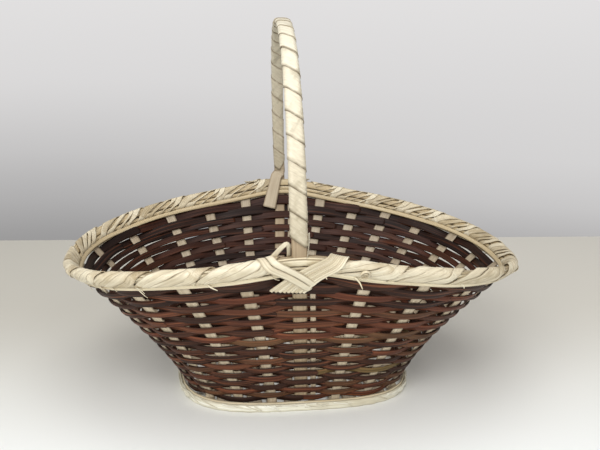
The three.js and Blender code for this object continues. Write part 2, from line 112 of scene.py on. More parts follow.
LEG_FRONT = {"foot": -2.4 * MM, "rim": -5.2 * MM}
LEG_BACK = {"foot": 0.0, "rim": -3.5 * MM}
CROWN_X = -11.5 * MM
SPLINT_FRONT_WIDTH, SPLINT_BACK_WIDTH = 11.6 * MM, 9.8 * MM
SPLINT_THICKNESS, SPLINT_GAP = 1.5 * MM, 0.4 * MM
ARCH_HALF_SPAN, ARCH_SPRING_Z, ARCH_CROWN_Z = 142 * MM, 162 * MM, 322.4 * MM
ARCH_EXPONENT = 2.3


# ---- Wall surface ----

SMALL_STEP = 1e-3


def unit(vectors):
    return vectors / np.linalg.norm(vectors, axis=-1, keepdims=True)


def outline(points):
    """A function from the share of the way round an outline to points on it, and its length."""
    steps = np.linalg.norm(np.diff(points, axis=0), axis=1)
    share = np.concatenate([[0], np.cumsum(steps)]) / steps.sum()

    def at(u):
        return np.stack([np.interp(np.mod(u, 1), share, column) for column in points.T], -1)

    return at, steps.sum()


def oval(half, exponent, twist=0.0, samples=2048):
    """The outline of an oval, from the front towards +X."""
    angle = -math.pi / 2 + 2 * math.pi * np.arange(samples + 1) / samples
    x = np.abs(np.cos(angle) / half[0]) ** exponent
    y = np.abs(np.sin(angle) / half[1]) ** exponent
    radius = (x + y) ** (-1 / exponent)
    return outline(np.stack([radius * np.cos(angle + twist), radius * np.sin(angle + twist)], -1))


rim_oval, RIM_LENGTH = oval(RIM_HALF, RIM_EXPONENT)
foot_oval, FOOT_LENGTH = oval(FOOT_HALF, FOOT_EXPONENT, FOOT_TWIST)


def rim_height(x):
    sag = 1 - np.minimum(1, np.abs(x) / RIM_HALF[0]) ** SAG_POWER
    return RIM_END_Z + (RIM_SIDE_Z - RIM_END_Z) * sag


def crest(x, v):
    """The rim's extra height beside the handle, which fades out down the wall."""
    return CREST_RISE * np.exp(-((x / CREST_REACH) ** 2)) * v ** CREST_FADE


def wall(u, v):
    """Points on the wall's middle surface: v is 0 at the foot and 1 at the rim."""
    u, v = np.broadcast_arrays(np.asarray(u, float), np.asarray(v, float))
    low, high = foot_oval(u), rim_oval(u)
    xy = low + (high - low) * (v ** FLARE_POWER)[..., None]
    z = WALL_FOOT_Z + (rim_height(high[..., 0]) - WALL_FOOT_Z) * v + crest(high[..., 0], v)
    return np.concatenate([xy, z[..., None]], -1)


def wall_frame(u, v):
    """Points with the unit vectors along the wall, up it and out of it."""
    u, v = np.broadcast_arrays(np.asarray(u, float), np.asarray(v, float))
    along = unit(wall(u + SMALL_STEP, v) - wall(u - SMALL_STEP, v))
    rise = wall(u, v + SMALL_STEP) - wall(u, np.maximum(0, v - SMALL_STEP))
    out = unit(np.cross(along, rise))
    return wall(u, v), along, np.cross(out, along), out


def near_wall(u, v, sideways=0.0, upward=0.0, outward=0.0):
    """Points at distances from the wall's middle surface, with the surface's outward vectors."""
    point, along, up, out = wall_frame(u, v)
    shift = [np.broadcast_to(d, point.shape[:-1])[..., None] for d in (sideways, upward, outward)]
    return point + along * shift[0] + up * shift[1] + out * shift[2], out


def ripple(u, size, slowest, fastest, waves=5):
    """A smooth random wave that closes on itself once round."""
    total = np.zeros_like(u)
    for _ in range(waves):
        cycles = rng.integers(slowest, fastest + 1)
        total += np.sin(2 * math.pi * (cycles * u + rng.random()))
    return size * total / math.sqrt(waves)


def smooth(t):
    return (1 - np.cos(math.pi * np.clip(t, 0, 1))) / 2


def remap_range(value, low, high, to_low, to_high):
    return to_low + (to_high - to_low) * np.clip((value - low) / (high - low), 0, 1)


def show(made):
    bpy.context.scene.collection.objects.link(made)


# ---- Strip mesh ----

# Points across a strip, how far off its inner side is in the UV map, and how far apart the
# strips may start in the noise, in metres.
ACROSS, INNER_UV, NOISE_LENGTH = 7, 0.03, 5
EDGE_THINNING = 0.5


class Strips:
    """Flat strips gathered in one mesh, with their length and width as UV, a tint, and marks
    for their edges and their inner side."""

    def __init__(self):
        self.points, self.faces, self.uvs, self.tints, self.edges, self.inner = [], [], [], [], [], []
        self.count = 0

    def sheet(self, top, bottom, across, length, tint, closed=False):
        """A closed body between two grids of points, n sections by ACROSS."""
        n = len(top)
        ring = np.concatenate([top, bottom[:, ::-1]], 1)
        size = ring.shape[1]
        v = np.concatenate([across, across[:, ::-1] + INNER_UV], 1)
        edge = np.abs(np.linspace(-1, 1, ACROSS))
        self.points.append(ring.reshape(-1, 3))
        self.tints.append(np.repeat(np.broadcast_to(tint, n), size))
        self.edges.append(np.tile(np.concatenate([edge, edge[::-1]]), n))
        self.inner.append(np.tile(np.repeat([0.0, 1.0], ACROSS), n))
        for i in range(n if closed else n - 1):
            for k in range(size):
                side = (k + 1) % size
                self.face([(i, k), (i + 1, k), (i + 1, side), (i, side)], length, v)
        if not closed:
            self.face([(0, k) for k in range(size)], length, v)
            self.face([(n - 1, k) for k in reversed(range(size))], length, v)
        self.count += n * size

    def face(self, corners, length, across):
        """A face whose corners are (section, point). A closed strip's sections start again."""
        n, size = across.shape
        self.faces.append([self.count + i % n * size + k for i, k in corners])
        self.uvs.extend((length[i], across[i % n, k]) for i, k in corners)

    def add(self, points, outs, width, thickness, tint=0.5, closed=False, crown=0.0):
        """A strip along a path. crown lifts its middle above its edges."""
        n = len(points)
        if closed:
            ahead = np.roll(points, -1, 0) - np.roll(points, 1, 0)
        else:
            ahead = np.gradient(points, axis=0)
        ahead = unit(ahead)
        side = unit(np.cross(outs, ahead))
        out = np.cross(ahead, side)
        width = np.broadcast_to(width, n)[:, None]
        s = np.linspace(-1, 1, ACROSS)[None, :]
        across = s * width / 2
        rise = crown * (1 - s ** 2)
        thick = np.broadcast_to(thickness, n)[:, None] / 2 * (1 - EDGE_THINNING * s ** 4)
        middle = points[:, None] + side[:, None] * across[..., None]
        top = middle + out[:, None] * (rise + thick)[..., None]
        bottom = middle + out[:, None] * (rise - thick)[..., None]
        step = np.linalg.norm(np.diff(points, axis=0, append=points[:1]), axis=1)
        length = np.concatenate([[0], np.cumsum(step)]) + rng.random() * NOISE_LENGTH
        self.sheet(top, bottom, across, length, tint, closed)

    def build(self, name, material, slot, *nodes):
        """Makes the object, which rides on the basket and stands for the CAD nodes."""
        mesh = bpy.data.meshes.new(name)
        mesh.from_pydata(np.concatenate(self.points).tolist(), [], self.faces)
        layer = mesh.uv_layers.new(name="strip")
        layer.data.foreach_set("uv", np.array(self.uvs, np.float32).ravel())
        for key, values in (("tint", self.tints), ("edge", self.edges), ("inner", self.inner)):
            attribute = mesh.attributes.new(key, "FLOAT", "POINT")
            attribute.data.foreach_set("value", np.concatenate(values).astype(np.float32))
        mesh.polygons.foreach_set("use_smooth", [True] * len(mesh.polygons))
        mesh.update()
        mesh.materials.append(material)
        made = bpy.data.objects.new(name, mesh)
        show(made)
        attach(made, "root")
        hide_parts(*nodes)


# ---- Materials ----

# Noise along a strip, in cycles per metre along it and across it.
RIB_NOISE = {"along": 9.0, "across": 620.0}
FIBRE_NOISE = {"along": 30.0, "across": 2100.0, "detail": 3.0}
BLOTCH_NOISE = {"along": 14.0, "across": 60.0, "detail": 3.0}
RIB_SHARE, TINT_SPREAD = 0.6, 61.0
# Where the noise starts and ends each mark: dark and light fibres, stains, and dark edges that
# are partly dirt and partly painted shade between overlapping strips.
DARK_FIBRES, LIGHT_FIBRES = (0.34, 0.52), (0.5, 0.68)
STAINS, EDGE_DIRT_AND_SHADE_BLOTCHES, EDGE_DIRT_AND_SHADE_LEAST = (0.48, 0.72), (0.3, 0.5), 0.4
EDGE_START = 0.72
GLOSS_FIBRES, DULLER, GLOSSIER = (0.35, 0.65), 0.1, 0.06
BLOTCH_RELIEF, RELIEF_DEPTH = 0.4, 0.3 * MM
# The second colour is painted shade, which darkens each strip's inner side inside the basket.
FIBRE_SHADE, PAINTED_INNER_SHADE_COLOUR = (0.5, 0.44, 0.4, 1.0), (0.3, 0.27, 0.25, 1.0)
BAMBOO_IOR = 1.45


def linear(colour):
    """A colour in 8-bit sRGB as linear numbers."""
    channels = np.array(colour) / 255
    low, high = channels / 12.92, ((channels + 0.055) / 1.055) ** 2.4
    return (*np.where(channels <= 0.04045, low, high).tolist(), 1.0)


def node(tree, kind, settings=None, **inputs):
    made = tree.nodes.new(kind)
    for key, value in (settings or {}).items():
        setattr(made, key, value)
    for key, value in inputs.items():
        numbered = key[0] == "i" and key[1:].isdigit()
        socket = made.inputs[int(key[1:])] if numbered else made.inputs[key]
        if isinstance(value, bpy.types.NodeSocket):
            tree.links.new(value, socket)
        else:
            socket.default_value = value
    return made


def math_node(tree, operation, a, b):
    return node(tree, "ShaderNodeMath", {"operation": operation}, i0=a, i1=b).outputs[0]


def mix_colour(tree, blend, factor, a, b):
    settings = {"data_type": "RGBA", "blend_type": blend}
    return node(tree, "ShaderNodeMix", settings, i0=factor, i6=a, i7=b).outputs[2]


def remap(tree, value, low, high, to_low, to_high):
    settings = {"interpolation_type": "SMOOTHSTEP"}
    limits = {"i1": low, "i2": high, "i3": to_low, "i4": to_high}
    return node(tree, "ShaderNodeMapRange", settings, i0=value, **limits).outputs[0]


def ramp(tree, value, stops):
    made = node(tree, "ShaderNodeValToRGB", Fac=value)
    elements = made.color_ramp.elements
    for i, (position, colour) in enumerate(stops):
        element = elements[i] if i < 2 else elements.new(position)
        element.position = position
        element.color = colour
    return made.outputs[0]


def strip_noise(tree, uv, tint, along, across, detail=2.0):
    """Noise stretched along a strip, in cycles per metre."""
    parts = node(tree, "ShaderNodeSeparateXYZ", Vector=uv)
    x = math_node(tree, "MULTIPLY", parts.outputs[0], along)
    y = math_node(tree, "MULTIPLY", parts.outputs[1], across)
    z = math_node(tree, "MULTIPLY", tint, TINT_SPREAD)
    vector = node(tree, "ShaderNodeCombineXYZ", X=x, Y=y, Z=z).outputs[0]
    return node(tree, "ShaderNodeTexNoise", Vector=vector, Scale=1.0, Detail=detail).outputs[0]


def bamboo(
    name, stops, streak, stain, edge, roughness,
    contrast=0.5, bump=0.4, stain_share=0.4, edge_share=0.5, painted_inner_shade=0.0, specular=0.5,
):
    """Split bamboo: a colour for each strip, dark and light fibres along it, stains, dark edges
    that are partly dirt and partly painted shade between overlapping strips, and painted shade
    on the inner side. Its colours are 8-bit sRGB."""
    material = bpy.data.materials.new(name)
    material.use_nodes = True
    tree = material.node_tree
    shader = tree.nodes["Principled BSDF"]
    uv = node(tree, "ShaderNodeUVMap", {"uv_map": "strip"}).outputs[0]
    tint, edge_mark, inner = [
        node(tree, "ShaderNodeAttribute", {"attribute_name": key}).outputs["Fac"]
        for key in ("tint", "edge", "inner")
    ]
    ribs = strip_noise(tree, uv, tint, **RIB_NOISE)
    fibres = strip_noise(tree, uv, tint, **FIBRE_NOISE)
    blotch = strip_noise(tree, uv, tint, **BLOTCH_NOISE)
    ribs = math_node(tree, "MULTIPLY", ribs, RIB_SHARE)
    lines = math_node(tree, "ADD", ribs, math_node(tree, "MULTIPLY", fibres, 1 - RIB_SHARE))
    colour = ramp(tree, tint, [(place, linear(tone)) for place, tone in stops])
    shade = mix_colour(tree, "MULTIPLY", 1.0, colour, FIBRE_SHADE)
    dark = remap(tree, lines, *DARK_FIBRES, contrast, 0.0)
    light = remap(tree, lines, *LIGHT_FIBRES, 0.0, contrast)
    colour = mix_colour(tree, "MIX", dark, colour, shade)
    colour = mix_colour(tree, "MIX", light, colour, linear(streak))
    stained = remap(tree, blotch, *STAINS, 0.0, stain_share)
    colour = mix_colour(tree, "MIX", stained, colour, linear(stain))
    # Dark edge lines: partly dirt, partly painted shade in the creases between overlapping strips and
    # rows.
    edge_dirt_and_shade = remap(tree, edge_mark, EDGE_START, 1.0, 0.0, edge_share)
    edge_dirt_and_shade = math_node(tree, "MULTIPLY", edge_dirt_and_shade, remap(tree, blotch, *EDGE_DIRT_AND_SHADE_BLOTCHES, EDGE_DIRT_AND_SHADE_LEAST, 1.0))
    colour = mix_colour(tree, "MIX", edge_dirt_and_shade, colour, linear(edge))
    # Painted shade: each strip's inner side, which faces into the basket, is darkened.
    inner = math_node(tree, "MULTIPLY", inner, painted_inner_shade)
    colour = mix_colour(tree, "MULTIPLY", inner, colour, PAINTED_INNER_SHADE_COLOUR)
    tree.links.new(colour, shader.inputs["Base Color"])
    gloss = remap(tree, lines, *GLOSS_FIBRES, roughness + DULLER, roughness - GLOSSIER)
    tree.links.new(gloss, shader.inputs["Roughness"])
    height = math_node(tree, "ADD", lines, math_node(tree, "MULTIPLY", blotch, BLOTCH_RELIEF))
    relief = node(tree, "ShaderNodeBump", None, Strength=bump, Distance=RELIEF_DEPTH, Height=height)
    tree.links.new(relief.outputs[0], shader.inputs["Normal"])
    shader.inputs["IOR"].default_value = BAMBOO_IOR
    shader.inputs["Specular IOR Level"].default_value = specular
    return material


DYED = bamboo(
    "dyed_bamboo",
    [
        (0.0, (36, 20, 14)),
        (0.3, (60, 36, 25)),
        (0.55, (92, 50, 33)),
        (0.75, (86, 58, 39)),
        (0.88, (104, 74, 48)),
        (1.0, (110, 92, 56)),
    ],
    streak=(142, 84, 54), stain=(44, 25, 17), edge=(28, 16, 11), roughness=0.46,
    # The weavers' inner side is darkened strongly by painted shade.
    contrast=0.75, bump=0.35, stain_share=0.5, edge_share=0.6, painted_inner_shade=0.85, specular=0.2,
)
PALE = bamboo(
    "pale_bamboo",
    [(0.0, (170, 152, 126)), (0.5, (190, 173, 146)), (1.0, (207, 192, 165))],
    streak=(221, 209, 184), stain=(152, 131, 104), edge=(122, 100, 76), roughness=0.5,
    # The inner side of the stakes and slats is darkened a little by painted shade.
    contrast=0.45, bump=0.4, stain_share=0.45, edge_share=0.5, painted_inner_shade=0.3,
)
CREAM = bamboo(
    "cream_bamboo",
    [(0.0, (190, 170, 132)), (0.4, (224, 210, 177)), (1.0, (237, 227, 199))],
    streak=(245, 238, 216), stain=(190, 170, 128), edge=(112, 90, 60), roughness=0.42,
    contrast=0.35, bump=0.3, stain_share=0.45, edge_share=0.75,
)
BOUND = bamboo(
    "binding_bamboo",
    [(0.0, (174, 157, 124)), (0.4, (208, 194, 164)), (1.0, (226, 216, 190))],
    streak=(236, 229, 208), stain=(174, 155, 118), edge=(122, 100, 70), roughness=0.42,
    contrast=0.45, bump=0.4, stain_share=0.5, edge_share=0.4,
)
WRAP = bamboo(
    "wrapping_bamboo",
    [(0.0, (178, 166, 140)), (0.4, (208, 197, 172)), (1.0, (238, 230, 207))],
    streak=(240, 233, 212), stain=(160, 149, 122), edge=(104, 84, 56), roughness=0.42,
    contrast=0.3, bump=0.3, stain_share=0.5, edge_share=0.75,
)
CORE = bamboo(
    "core_bamboo",
    [(0.0, (146, 124, 97)), (0.5, (162, 141, 112)), (1.0, (186, 171, 145))],
    streak=(186, 168, 138), stain=(138, 113, 84), edge=(116, 90, 62), roughness=0.5,
    contrast=0.4, bump=0.4,
)
FIBROUS = bamboo(
    "fibrous_bamboo",
    [(0.0, (214, 206, 180)), (0.5, (230, 226, 206)), (1.0, (240, 238, 224))],
    streak=(246, 244, 234), stain=(176, 162, 126), edge=(150, 134, 98), roughness=0.6,
    contrast=0.8, bump=1.0, stain_share=0.6,
)


# ---- Weavers ----

def row_height(row):
    t = row / (len(WEAVERS) - 1)
    return ROW_LOW + (ROW_HIGH - ROW_LOW) * (t + ROW_GRADING * t * (t - 1))


def stake_u(k):
    """Where a stake is round the wall. k may lie between two stakes."""
    angle = 2 * math.pi * k / STAKES
    side = np.sin(angle)
    quarters = np.sin(2 * angle) ** 2 * (DRIFT_QUARTERS + DRIFT_LEFT_QUARTERS * side)
    return k / STAKES + DRIFT_FRONT * side + DRIFT_ENDS * side ** 2 + quarters


def leg_x(k, v):
    """Where the handle's leg runs down the front wall, stake 0, or the back wall."""
    run = LEG_BACK if k else LEG_FRONT
    return run["foot"] + (run["rim"] - run["foot"]) * v


def stake_width(k, v):
    if k % HALF_TURN == 0:
        return COMPANION_WIDTH + 0 * v
    return STAKE_FOOT_WIDTH + (STAKE_RIM_WIDTH - STAKE_FOOT_WIDTH) * v


def station_reach(k, v):
    """How far a row reaches to either side of stake k before it crosses the wall."""
    half = stake_width(k, v) * STAKE_REACH
    if k % HALF_TURN:
        return -half, half
    leg_edge = leg_x(k, v) - SPLINT_FRONT_WIDTH * LEG_REACH
    stake_edge = leg_x(k, v) + COMPANION_FROM_LEG + COMPANION_WIDTH * COMPANION_REACH
    return (leg_edge, stake_edge) if k == 0 else (-stake_edge, -leg_edge)


def row_swing(row, v, u):
    """How far out of the wall a row lies at each place, over one stake and under the next."""
    around = stake_u(np.arange(STAKES))
    step = wall(around + SMALL_STEP, v) - wall(around - SMALL_STEP, v)
    speed = np.linalg.norm(step, axis=1) / (2 * SMALL_STEP)
    knots, swings = [], []
    for k in range(STAKES):
        swing = (-1 if (row + k) % 2 else 1) * WEAVER_SWING * rng.uniform(0.88, 1.12)
        for reach in station_reach(k, v):
            knots.append(around[k] + reach / speed[k])
            swings.append(swing)
    knots = np.array([knots[-1] - 1, *knots, knots[0] + 1, knots[1] + 1])
    swings = np.array([swings[-1], *swings, swings[0], swings[1]])
    place = np.mod(u, 1)
    i = np.clip(np.searchsorted(knots, place, side="right") - 1, 0, len(knots) - 2)
    t = (place - knots[i]) / (knots[i + 1] - knots[i])
    return swings[i] + (swings[i + 1] - swings[i]) * smooth(t)


def at_places(u, places, values):
    """Values known once round the wall, at other places u."""
    return np.interp(np.mod(u, 1), places, values, period=1)


def near_top(row):
    return row >= len(WEAVERS) - TOP_ROWS


def row_pitch(row):
    """How much of the wall's height a row takes up."""
    below, above = max(row - 1, 0), min(row + 1, len(WEAVERS) - 1)
    return (row_height(above) - row_height(below)) / (above - below)


def row_fullness(row, v, u):
    """How much of its pitch a row fills at each place."""
    full = WEAVER_FULLNESS["foot"] + (WEAVER_FULLNESS["rim"] - WEAVER_FULLNESS["foot"]) * v
    full *= TOP_ROW_FULLNESS if near_top(row) else 1
    full = full - WEAVER_END_THINNING * v * np.sin(2 * math.pi * u) ** 4
    return full * (1 + ripple(u, 0.03, 2, 12)) * rng.uniform(0.95, 1.05)


def weaver(row):
    """One row, made of three or four strips that overlap at their ends."""
    v, pitch = row_height(row), row_pitch(row)
    v += TOP_ROW_LIFT * pitch if row == len(WEAVERS) - 1 else 0
    count = 3 if row < len(WEAVERS) // 2 else 4
    starts = (rng.random() + np.arange(count) / count + rng.uniform(-0.06, 0.06, count)) % 1
    starts = np.sort(starts)
    ends = np.append(starts[1:], starts[0] + 1) + WEAVER_OVERLAP
    around = np.linspace(0, 1, WEAVER_STEPS, endpoint=False)
    swing = row_swing(row, v, around)
    wander = ripple(around, 0.05 * pitch, 3, 24)
    fullness = row_fullness(row, v, around)
    strips = Strips()
    for start, end in zip(starts, ends):
        u = np.linspace(start, end, int((end - start) * WEAVER_STEPS))
        tuck = WEAVER_TUCK * (1 - smooth((u - start) / WEAVER_OVERLAP - 0.6))
        height = v + at_places(u, around, wander)
        points, outs = near_wall(u, height, outward=at_places(u, around, swing) - tuck)
        above, _ = near_wall(u, height + pitch / 2)
        below, _ = near_wall(u, height - pitch / 2)
        width = np.linalg.norm(above - below, axis=1) * at_places(u, around, fullness)
        to_end = np.minimum(u - start, end - u) * RIM_LENGTH
        width *= np.clip(to_end / WEAVER_TAPER, WEAVER_END_WIDTH, 1)
        tint = rng.choice(WEAVER_TINTS, p=WEAVER_TINT_SHARES)
        tint = tint * (TOP_ROW_TINT if near_top(row) else 1) + rng.uniform(-0.03, 0.03)
        strips.add(points, outs, width, WEAVER_THICKNESS, tint, crown=WEAVER_CROWN)
    strips.build(WEAVERS[row], DYED, "brown_bamboo", WEAVERS[row])


# ---- Stakes and base ----

WALL_SAMPLES, WALL_SPACING = 48, 1.3
BEND_STEPS, CROSSING_STEPS, TOE_STEPS, SLAT_STEPS = 6, 14, 7, 24
STAKE_CROWN = 0.15 * MM


def facing_down(count):
    return np.tile([0, 0, -1.0], (count, 1))


def companion_shift(k, v):
    """How far the narrow stake beside a leg of the handle stands from its place."""
    if k % HALF_TURN:
        return 0.0
    x = leg_x(k, v) + COMPANION_FROM_LEG
    return -x if k else x


def wall_run(k):
    """A stake's path from the rim down the wall to the foot."""
    v = STAKE_TOP * (1 - np.linspace(0, 1, WALL_SAMPLES)) ** WALL_SPACING
    wander = ripple(np.linspace(0, 0.5, WALL_SAMPLES), 0.35 * MM, 1, 4)
    points, outs = near_wall(stake_u(k), v, sideways=companion_shift(k, v) + wander)
    return points, outs, stake_width(k, v)


def bend_run(foot, target, layer_z):
    """The turn from the wall's foot into the base."""
    inward = unit(np.array([target[0] - foot[0], target[1] - foot[1], 0.0]))
    radius = WALL_FOOT_Z - layer_z
    angle = np.linspace(0, math.pi / 2, BEND_STEPS + 1)[1:, None]
    points = foot + inward * radius * (1 - np.cos(angle))
    points[:, 2] = (layer_z + radius * (1 - np.sin(angle)))[:, 0]
    outs = -inward * np.cos(angle) + np.array([0, 0, -1]) * np.sin(angle)
    return points, outs


def stake(name, points, outs, width):
    """Makes one stake along its path."""
    strips = Strips()
    strips.add(points, outs, width, STAKE_THICKNESS, rng.uniform(0.15, 0.85), crown=STAKE_CROWN)
    strips.build(name, PALE, "pale_bamboo", name)


def through_stake(name, first, last, layer_z):
    """A stake down one wall, across the base and up the opposite wall."""
    down, down_out, down_width = wall_run(first)
    up, up_out, up_width = wall_run(last)
    turn_in, turn_in_out = bend_run(down[-1], up[-1], layer_z)
    turn_out, turn_out_out = bend_run(up[-1], down[-1], layer_z)
    middle = np.linspace(turn_in[-1], turn_out[-1], CROSSING_STEPS + 2)[1:-1]
    middle_out = facing_down(CROSSING_STEPS)
    points = np.concatenate([down, turn_in, middle, turn_out[::-1], up[::-1]])
    outs = np.concatenate([down_out, turn_in_out, middle_out, turn_out_out[::-1], up_out[::-1]])
    across = np.full(2 * BEND_STEPS + CROSSING_STEPS, down_width[-1])
    width = np.concatenate([down_width, across, up_width[::-1]])
    width *= 1 + ripple(np.linspace(0, 1, len(width)), 0.02, 2, 9)
    stake(name, points, outs, width)


def corner_stake(name, k):
    """A stake that ends in a toe on the base."""
    down, down_out, down_width = wall_run(k)
    turn, turn_out = bend_run(down[-1], np.zeros(3), CORNER_Z)
    inward = unit(-turn[-1] * np.array([1, 1, 0]))
    toe = turn[-1] + inward * np.linspace(0, CORNER_TOE, TOE_STEPS + 1)[1:, None]
    points = np.concatenate([down, turn, toe])
    outs = np.concatenate([down_out, turn_out, facing_down(TOE_STEPS)])
    width = np.concatenate([down_width, np.full(BEND_STEPS + TOE_STEPS, down_width[-1])])
    stake(name, points, outs, width)


def foot_gap(k):
    """The middle between stake k and the next one, where they reach the base."""
    pair = [i % STAKES for i in (k, k + 1)]
    places = [near_wall(stake_u(i), 0.0, companion_shift(i, 0.0))[0] for i in pair]
    return (places[0] + places[1]) / 2 * np.array([1, 1, 0]) + np.array([0, 0, CROSS_Z])


def base_slat(name, gap):
    """A short slat that fills the base between cross stake gap and the next one."""
    front, back = foot_gap(gap), foot_gap(HALF_TURN - gap - 1)
    inward = unit(back - front) * SLAT_INSET
    share = np.linspace(0, 1, SLAT_STEPS)
    points = front + inward + (back - front - 2 * inward) * share[:, None]
    strips = Strips()
    width = INFILL_WIDTH * (1 + ripple(share, 0.02, 1, 5))
    strips.add(points, facing_down(SLAT_STEPS), width, STAKE_THICKNESS, rng.uniform(0.1, 0.7))
    strips.build(name, PALE, "pale_bamboo", name)


# ---- Hoops ----

RING = np.linspace(0, 1, 420, endpoint=False)
LOOSE_ENDS, LOOSE_END_Z, LOOSE_END_OUT = 26, -12 * MM, 3.4 * MM
FOOT_FIBRES = 90
FIBRE_THICKNESS, FOOT_FIBRE_THICKNESS = 0.35 * MM, 0.3 * MM
RIM_FILLER = {"middle": -0.5 * MM, "height": 1.8 * MM, "thickness": 3 * MM}
RIM_HOOP_CROWN, FOOT_HOOP_CROWN = 0.2 * MM, 0.3 * MM


def loose_end(strips, u):
    """A torn fibre that sticks out under the rim or the lashing."""
    length = rng.uniform(5, 11) * MM
    drop, curl = rng.uniform(-0.1, 0.9), rng.uniform(-0.2, 0.3)
    t = np.linspace(0, 1, 9)
    upward = LOOSE_END_Z - drop * t * length + curl * length * np.sin(3 * t)
    outward = LOOSE_END_OUT + 0.35 * length * t
    points, outs = near_wall(u + t * length * 0.8 / RIM_LENGTH, 1.0, upward=upward, outward=outward)
    width = rng.uniform(0.7, 2.4) * MM * (1 - 0.7 * t)
    strips.add(points, outs, width, FIBRE_THICKNESS, rng.uniform(0.5, 1.0))


def rim_hoop(name, side, *nodes):
    """The bands of split bamboo on one side of the rim. The outer one has the filler strip that
    lies over the stakes' ends, and loose ends."""
    strips = Strips()
    for middle, height in RIM_BANDS:
        upward = middle + ripple(RING, 0.3 * MM, 2, 14)
        outward = side * (HOOP_MIDDLE + ripple(RING, 0.15 * MM, 4, 20))
        points, outs = near_wall(RING, 1.0, upward=upward, outward=outward)
        width = height * (1 + ripple(RING, 0.04, 3, 18))
        # Painted shade: the inner hoops take the darker tints.
        tint = rng.uniform(0.4, 0.8) if side > 0 else rng.uniform(0.0, 0.3)
        strips.add(points, outs * side, width, HOOP_THICKNESS, tint, True, RIM_HOOP_CROWN)
    if side > 0:
        points, outs = near_wall(RING, 1.0, upward=RIM_FILLER["middle"])
        strips.add(points, outs, RIM_FILLER["height"], RIM_FILLER["thickness"], closed=True)
        for u in rng.random(LOOSE_ENDS):
            loose_end(strips, u)
    strips.build(name, CREAM, "pale_bamboo", *nodes)


def foot_points(u, outward, z):
    """Points and outward vectors round the foot."""
    point, along, _, _ = wall_frame(u, 0.0)
    out = unit(np.cross(along, [0, 0, 1]))
    points = point + out * np.broadcast_to(outward, u.shape)[:, None]
    points[:, 2] = z
    return points, out


def foot_fibre(strips, u):
    """A short torn fibre that lies slantwise on the outside of the foot."""
    t = np.linspace(0, 1, 6)
    length = rng.uniform(4, 16) * MM
    face = FOOT_OUTER["middle"] + FOOT_OUTER["thickness"] / 2
    outward = face + (0.5 + 0.3 * np.sin(math.pi * t)) * MM
    drop = rng.uniform(0.1, 1.0) * FOOT_OUTER["height"] * 0.8
    height = FOOT_OUTER["height"] * 0.95 - drop * t
    points, outs = foot_points(u + t * length / FOOT_LENGTH, outward, height)
    width = rng.uniform(0.6, 1.6) * MM * (1 - 0.5 * t)
    strips.add(points, outs, width, FOOT_FIBRE_THICKNESS, rng.uniform(0, 1))


def foot_hoop(name, material, size, roughness, fibres=0):
    """One hoop of the foot ring, with fibres that have come loose from its face."""
    strips = Strips()
    outward = size["middle"] + ripple(RING, roughness, 20, 60)
    points, outs = foot_points(RING, outward, size["height"] / 2)
    strips.add(points, outs, size["height"], size["thickness"], 0.5, True, FOOT_HOOP_CROWN)
    for u in rng.random(fibres):
        foot_fibre(strips, u)
    strips.build(name, material, "cream_bamboo", name)


# ---- Strips wound round a bar ----

TURN_STEPS = 48
WOUND_HALF_THICKNESS = 0.35 * MM


def bar_section(half_width, half_height, exponent, samples=360):
    """The outline of a rounded section, its outward directions and its length."""
    angle = -math.pi / 2 + 2 * math.pi * np.arange(samples + 1) / samples
    x = half_width * np.sign(np.cos(angle)) * np.abs(np.cos(angle)) ** (2 / exponent)
    y = half_height * np.sign(np.sin(angle)) * np.abs(np.sin(angle)) ** (2 / exponent)
    at, length = outline(np.stack([x, y], -1))

    def normal(p):
        ahead = at(p + 0.01) - at(p - 0.01)
        return unit(np.stack([ahead[..., 1], -ahead[..., 0]], -1))

    return at, normal, length


def wound_strip(strips, along, around, girth, width, lift, place, tint, shift=0.0):
    """A strip on a bar. along is in metres, around in turns of the bar's girth, shift across it."""
    ds, dp = np.gradient(along), np.gradient(around) * girth
    size = np.hypot(ds, dp)
    width, shift = np.reshape(width, (-1, 1)), np.reshape(shift, (-1, 1))
    across = np.linspace(-1, 1, ACROSS)[None, :] * width / 2 + shift
    s = along[:, None] + (dp / size)[:, None] * -across
    p = around[:, None] + (ds / size)[:, None] * across / girth
    top = place(s, p, lift + WOUND_HALF_THICKNESS)
    bottom = place(s, p, lift - WOUND_HALF_THICKNESS)
    length = np.concatenate([[0], np.cumsum(size)]) + rng.random() * NOISE_LENGTH
    strips.sheet(top, bottom, np.broadcast_to(across, s.shape), length, tint)


# ---- Rim lashing ----

# How much of its advance outside or inside the rim a turn has made at each share of the face.
FACE_SHARES = (0.0, 0.1, 0.25, 0.5, 0.75, 0.9, 1.0)
FACE_ADVANCE = (0.0, 0.04, 0.2, 0.5, 0.8, 0.96, 1.0)
OUTSIDE_SHARE, OUTSIDE_SWING = 0.5, 0.26
# Each strand's shift across the lashing, and its width.
LASH_STRANDS = (
    (-7.8 * MM, 6.8 * MM),
    (-1.2 * MM, 6.8 * MM),
    (3.9 * MM, 4.2 * MM),
    (8.6 * MM, 5.6 * MM),
)
LASH_BEFORE, LASH_AFTER = 0.78, 0.3
LASH_OPENING, LASH_JITTER, LASH_SMOOTHING = 0.93, 0.06, 7
LASH_LIFT, LASH_TILT, LASH_STEP = 0.55 * MM, 0.12 * MM, 0.016
FOLD_LOW, FOLD_HIGH = 0.2 * MM, 3.2 * MM
FOLD_SHARE, FOLD_LENGTH, FOLD_SIDE = 0.47, 0.05, 11 * MM
RIM_BAR = {"half_width": 3.6 * MM, "half_height": 5.8 * MM, "middle": -5.2 * MM}
KNOT_STAKE, KNOT_TURNS, KNOT_SAMPLES = 0.92, 1.7, 40
KNOT_RADIUS, KNOT_EYE, KNOT_OUT = 4.4 * MM, 1.2 * MM, 2.8 * MM
KNOT_WIDTH, KNOT_THICKNESS = 2.6 * MM, 0.5 * MM

rim_section, rim_normal, RIM_GIRTH = bar_section(RIM_BAR["half_width"], RIM_BAR["half_height"], 4.0)


